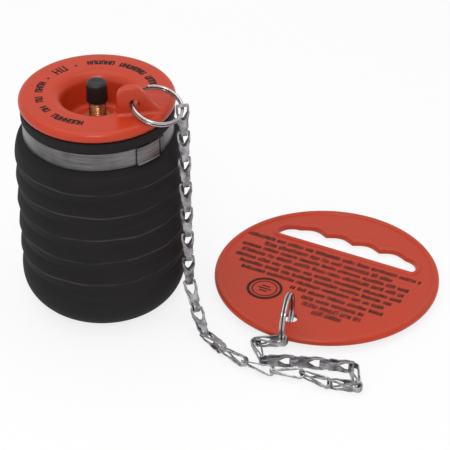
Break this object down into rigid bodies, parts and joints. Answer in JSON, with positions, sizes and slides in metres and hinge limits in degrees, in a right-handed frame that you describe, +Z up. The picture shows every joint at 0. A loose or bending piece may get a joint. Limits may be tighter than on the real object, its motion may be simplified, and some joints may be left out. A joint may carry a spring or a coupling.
{
  "type": "inflatable pipe plug",
  "caption": "Ribbed rubber inflatable plug for closing a pipe, with a moulded collar and air valve, and a folded-link chain that ties it to an oval grip tag.",
  "frame": {"origin": "centre of the plug's flat bottom, where it stands", "axes": "+Z up the plug towards the valve, +X towards the side where the chain and tag lie, -Y towards the camera"},
  "size_m": [0.2457, 0.173, 0.1528],
  "materials": {
    "rubber_bladder": "matt moulded black rubber with ribs",
    "collar": "satin orange-red moulding",
    "clamp_band": "brushed stainless strip",
    "band_buckle": "pressed stainless clip",
    "valve_stem": "turned brass",
    "valve_seal": "soft black rubber",
    "valve_nut": "turned brass",
    "valve_core": "turned brass",
    "core_pin": "turned brass",
    "core_spring": "fine steel wire",
    "valve_cap": "black moulded cap",
    "split_ring": "bright nickel plate",
    "chain": "dull zinc-plated steel strip",
    "tag": "satin orange-red moulding"
  },
  "bodies": {
    "plug": {"rubber_bladder": "rubber_bladder", "collar": "collar", "clamp_band": "clamp_band", "band_buckle": "band_buckle", "valve_stem": "valve_stem", "valve_seal": "valve_seal", "valve_nut": "valve_nut", "valve_core": "valve_core", "core_spring": "core_spring"},
    "cap": {"valve_cap": "valve_cap"},
    "pin": {"core_pin": "core_pin"},
    "upper_ring": {"upper_split_ring": "split_ring"},
    "link_01": {"chain_link_01": "chain"},
    "link_02": {"chain_link_02": "chain"},
    "link_03": {"chain_link_03": "chain"},
    "link_04": {"chain_link_04": "chain"},
    "link_05": {"chain_link_05": "chain"},
    "link_06": {"chain_link_06": "chain"},
    "link_07": {"chain_link_07": "chain"},
    "link_08": {"chain_link_08": "chain"},
    "link_09": {"chain_link_09": "chain"},
    "link_10": {"chain_link_10": "chain"},
    "link_11": {"chain_link_11": "chain"},
    "link_12": {"chain_link_12": "chain"},
    "link_13": {"chain_link_13": "chain"},
    "link_14": {"chain_link_14": "chain"},
    "link_15": {"chain_link_15": "chain"},
    "link_16": {"chain_link_16": "chain"},
    "link_17": {"chain_link_17": "chain"},
    "link_18": {"chain_link_18": "chain"},
    "link_19": {"chain_link_19": "chain"},
    "link_20": {"chain_link_20": "chain"},
    "link_21": {"chain_link_21": "chain"},
    "lower_ring": {"lower_split_ring": "split_ring"},
    "tag": {"tag": "tag"}
  },
  "joints": [
    {"name": "cap_lift", "type": "slide", "parent": "plug", "child": "cap", "axis": [0, 0, 1], "range_m": [0, 0.025]},
    {"name": "core_pin_press", "type": "slide", "parent": "plug", "child": "pin", "axis": [0, 0, -1], "range_m": [0, 0.001], "stiffness_N_per_m": 400, "springref_m": -0.002, "deforming": ["core_spring"]},
    {"name": "upper_ring_swing", "type": "hinge", "parent": "plug", "child": "upper_ring", "pos_m": [0.02033, -0.02067, 0.14293], "axis": [0.0129, -0.9716, -0.2364], "range_deg": [0, 60]},
    {"name": "link_01_swing", "type": "hinge", "parent": "upper_ring", "child": "link_01", "pos_m": [0.04763, -0.01886, 0.13697], "axis": [0.0129, -0.9716, -0.2364], "range_deg": [0, 30]},
    {"name": "link_02_swing", "type": "hinge", "parent": "link_01", "child": "link_02", "pos_m": [0.04797, -0.01895, 0.12247], "axis": [-0.9804, -0.1963, -0.0188], "range_deg": [0, 12]},
    {"name": "link_03_swing", "type": "hinge", "parent": "link_02", "child": "link_03", "pos_m": [0.04831, -0.01904, 0.10548], "axis": [-0.9804, -0.1963, -0.0188], "range_deg": [0, 12]},
    {"name": "link_04_swing", "type": "hinge", "parent": "link_03", "child": "link_04", "pos_m": [0.04866, -0.01913, 0.08848], "axis": [-0.9804, -0.1963, -0.0188], "range_deg": [0, 12]},
    {"name": "link_05_swing", "type": "hinge", "parent": "link_04", "child": "link_05", "pos_m": [0.049, -0.01923, 0.07148], "axis": [-0.9804, -0.1963, -0.0188], "range_deg": [0, 12]},
    {"name": "link_06_swing", "type": "hinge", "parent": "link_05", "child": "link_06", "pos_m": [0.04934, -0.01932, 0.05449], "axis": [-0.9804, -0.1963, -0.0188], "range_deg": [0, 12]},
    {"name": "link_07_swing", "type": "hinge", "parent": "link_06", "child": "link_07", "pos_m": [0.04969, -0.01941, 0.03749], "axis": [-0.9804, -0.1963, -0.0188], "range_deg": [0, 12]},
    {"name": "link_08_swing", "type": "hinge", "parent": "link_07", "child": "link_08", "pos_m": [0.05003, -0.0195, 0.0205], "axis": [-0.944, -0.3289, 0.0278], "range_deg": [0, 12]},
    {"name": "link_09_swing", "type": "hinge", "parent": "link_08", "child": "link_09", "pos_m": [0.05422, -0.03238, 0.01022], "axis": [-0.9465, -0.3211, 0.0324], "range_deg": [0, 12]},
    {"name": "link_10_swing", "type": "hinge", "parent": "link_09", "child": "link_10", "pos_m": [0.0591, -0.0474, 0.00393], "axis": [0.7777, 0.565, -0.2756], "range_deg": [-12, 12]},
    {"name": "link_11_swing", "type": "hinge", "parent": "link_10", "child": "link_11", "pos_m": [0.06909, -0.06116, 0.00393], "axis": [-0.5954, -0.6166, 0.515], "range_deg": [-12, 12]},
    {"name": "link_12_swing", "type": "hinge", "parent": "link_11", "child": "link_12", "pos_m": [0.08132, -0.07297, 0.00393], "axis": [0.3596, 0.6764, -0.6428], "range_deg": [-12, 12]},
    {"name": "link_13_swing", "type": "hinge", "parent": "link_12", "child": "link_13", "pos_m": [0.09633, -0.08095, 0.00393], "axis": [-0.0815, -0.6641, 0.7431], "range_deg": [-12, 0]},
    {"name": "link_14_swing", "type": "hinge", "parent": "link_13", "child": "link_14", "pos_m": [0.1132, -0.08302, 0.00393], "axis": [0.2192, 0.3796, -0.8988], "range_deg": [0, 12]},
    {"name": "link_15_swing", "type": "hinge", "parent": "link_14", "child": "link_15", "pos_m": [0.12792, -0.09152, 0.00393], "axis": [-0.0302, -0.171, 0.9848], "range_deg": [-12, 0]},
    {"name": "link_16_swing", "type": "hinge", "parent": "link_15", "child": "link_16", "pos_m": [0.14467, -0.09447, 0.00393], "axis": [-0.0346, -0.0043, -0.9994], "range_deg": [0, 12]},
    {"name": "link_17_swing", "type": "hinge", "parent": "link_16", "child": "link_17", "pos_m": [0.14259, -0.0776, 0.00393], "axis": [0.0182, 0.1029, 0.9945], "range_deg": [-12, 0]},
    {"name": "link_18_swing", "type": "hinge", "parent": "link_17", "child": "link_18", "pos_m": [0.12585, -0.07465, 0.00393], "axis": [-0.0289, -0.2059, -0.9781], "range_deg": [0, 12]},
    {"name": "link_19_swing", "type": "hinge", "parent": "link_18", "child": "link_19", "pos_m": [0.10902, -0.07228, 0.00393], "axis": [0.0049, 0.1391, 0.9903], "range_deg": [-12, 0]},
    {"name": "link_20_swing", "type": "hinge", "parent": "link_19", "child": "link_20", "pos_m": [0.09203, -0.07169, 0.00393], "axis": [0.0849, 0.0196, -0.9962], "range_deg": [-12, 12]},
    {"name": "link_21_swing", "type": "hinge", "parent": "link_20", "child": "link_21", "pos_m": [0.0882, -0.05512, 0.00393], "axis": [-0.2978, -0.2098, 0.9313], "range_deg": [-12, 12]},
    {"name": "lower_ring_swing", "type": "hinge", "parent": "link_21", "child": "lower_ring", "pos_m": [0.10306, -0.05883, 0.00784], "axis": [-0.1173, -0.4704, 0.8746], "range_deg": [-10, 10]},
    {"name": "tag_lift", "type": "hinge", "parent": "lower_ring", "child": "tag", "pos_m": [0.10602, -0.04695, 0.0149], "axis": [0.9703, -0.2419, 0], "range_deg": [0, 60]}
  ]
}
